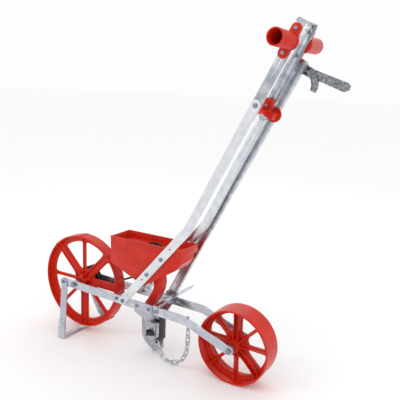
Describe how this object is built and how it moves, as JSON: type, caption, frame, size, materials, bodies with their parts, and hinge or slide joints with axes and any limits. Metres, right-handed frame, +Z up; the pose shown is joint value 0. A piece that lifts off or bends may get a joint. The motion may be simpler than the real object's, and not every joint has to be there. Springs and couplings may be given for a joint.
{
  "type": "garden row seeder",
  "caption": "Walk-behind garden row seeder with spoked wheels, belt-driven seed hopper, opener shoe, drag chain, folding stand and swing-out row marker.",
  "frame": {"origin": "on the ground below the front axle, on the underside of the stand's foot strip", "axes": "+X forward, +Y to the seeder's left, +Z up; the seeder stands on its stand and its rear wheel"},
  "size_m": [0.9295, 0.2835, 0.9454],
  "materials": {
    "red_plastic": "moulded gloss",
    "aluminium_bar": "mill finish, drawn",
    "zinc_steel": "zinc plated",
    "dark_steel": "black oxide",
    "black_plastic": "moulded matte",
    "belt_rubber": "smooth",
    "plate_plastic": "moulded matte"
  },
  "bodies": {
    "frame": {"side_rail_left": "aluminium_bar", "side_rail_right": "aluminium_bar", "lower_handle_left": "aluminium_bar", "lower_handle_right": "aluminium_bar", "upper_handle_left": "aluminium_bar", "upper_handle_right": "aluminium_bar", "handle_crown": "aluminium_bar", "grip_left": "red_plastic", "grip_right": "red_plastic", "grip_screws": "dark_steel", "marker_hook": "red_plastic", "handle_bolts": "dark_steel", "hopper": "red_plastic", "hopper_bolts": "dark_steel", "seed_chute": "red_plastic", "drive_belt": "belt_rubber", "front_axle": "dark_steel", "front_axle_nut": "dark_steel", "front_spacers": "zinc_steel", "rear_axle": "dark_steel", "rear_axle_nut": "dark_steel", "rear_spacers": "zinc_steel", "rail_tie_bolt": "dark_steel", "rail_tie_tube": "aluminium_bar", "opener_bracket_left": "aluminium_bar", "opener_bracket_right": "aluminium_bar", "opener_bolts": "dark_steel", "shoe_bolt": "dark_steel", "wing_nut": "dark_steel", "opener_deflector": "dark_steel", "chain_hook": "zinc_steel", "drag_chain": "zinc_steel", "marker_rest": "aluminium_bar", "rest_bolts": "dark_steel", "marker_bracket": "aluminium_bar", "marker_pin": "dark_steel", "stand_bolts": "dark_steel"},
    "front_wheel": {"front_wheel": "red_plastic", "drive_pulley": "black_plastic", "pulley_screws": "dark_steel"},
    "seed_drive": {"seed_plate": "plate_plastic", "plate_knob": "black_plastic", "seed_shaft": "zinc_steel", "seed_pulley": "black_plastic"},
    "rear_wheel": {"rear_wheel": "red_plastic"},
    "stand": {"stand_leg_left": "aluminium_bar", "stand_leg_right": "aluminium_bar", "stand_foot": "aluminium_bar", "stand_rivets": "zinc_steel"},
    "marker_arm": {"marker_arm": "aluminium_bar"},
    "marker_head": {"marker_clamp": "zinc_steel", "marker_blade": "zinc_steel", "marker_horn": "dark_steel", "clamp_nuts": "dark_steel"},
    "shoe": {"opener_shoe": "zinc_steel"}
  },
  "joints": [
    {"name": "front_wheel_roll", "type": "hinge", "parent": "frame", "child": "front_wheel", "pos_m": [0, 0, 0.165], "axis": [0, 1, 0], "continuous": true},
    {"name": "seed_plate_turn", "type": "hinge", "parent": "frame", "child": "seed_drive", "pos_m": [-0.262, 0, 0.282], "axis": [0, 1, 0], "continuous": true},
    {"name": "rear_wheel_roll", "type": "hinge", "parent": "frame", "child": "rear_wheel", "pos_m": [-0.552, 0, 0.104], "axis": [0, 1, 0], "continuous": true},
    {"name": "stand_fold", "type": "hinge", "parent": "frame", "child": "stand", "pos_m": [0.042, 0, 0.165], "axis": [0, 1, 0], "range_deg": [-105, 0]},
    {"name": "marker_swing", "type": "hinge", "parent": "frame", "child": "marker_arm", "pos_m": [-0.287, -0.0672, 0.16], "axis": [0.8829, 0, 0.4695], "range_deg": [0, 98]},
    {"name": "marker_head_slide", "type": "slide", "parent": "marker_arm", "child": "marker_head", "axis": [-0.4695, 0, 0.8829], "range_m": [-0.085, 0]},
    {"name": "opener_depth", "type": "slide", "parent": "frame", "child": "shoe", "axis": [0, 0, -1], "range_m": [0, 0.026]}
  ],
  "couplings": [
    {"joint": "seed_plate_turn", "follows": "front_wheel_roll", "ratio": 1}
  ]
}
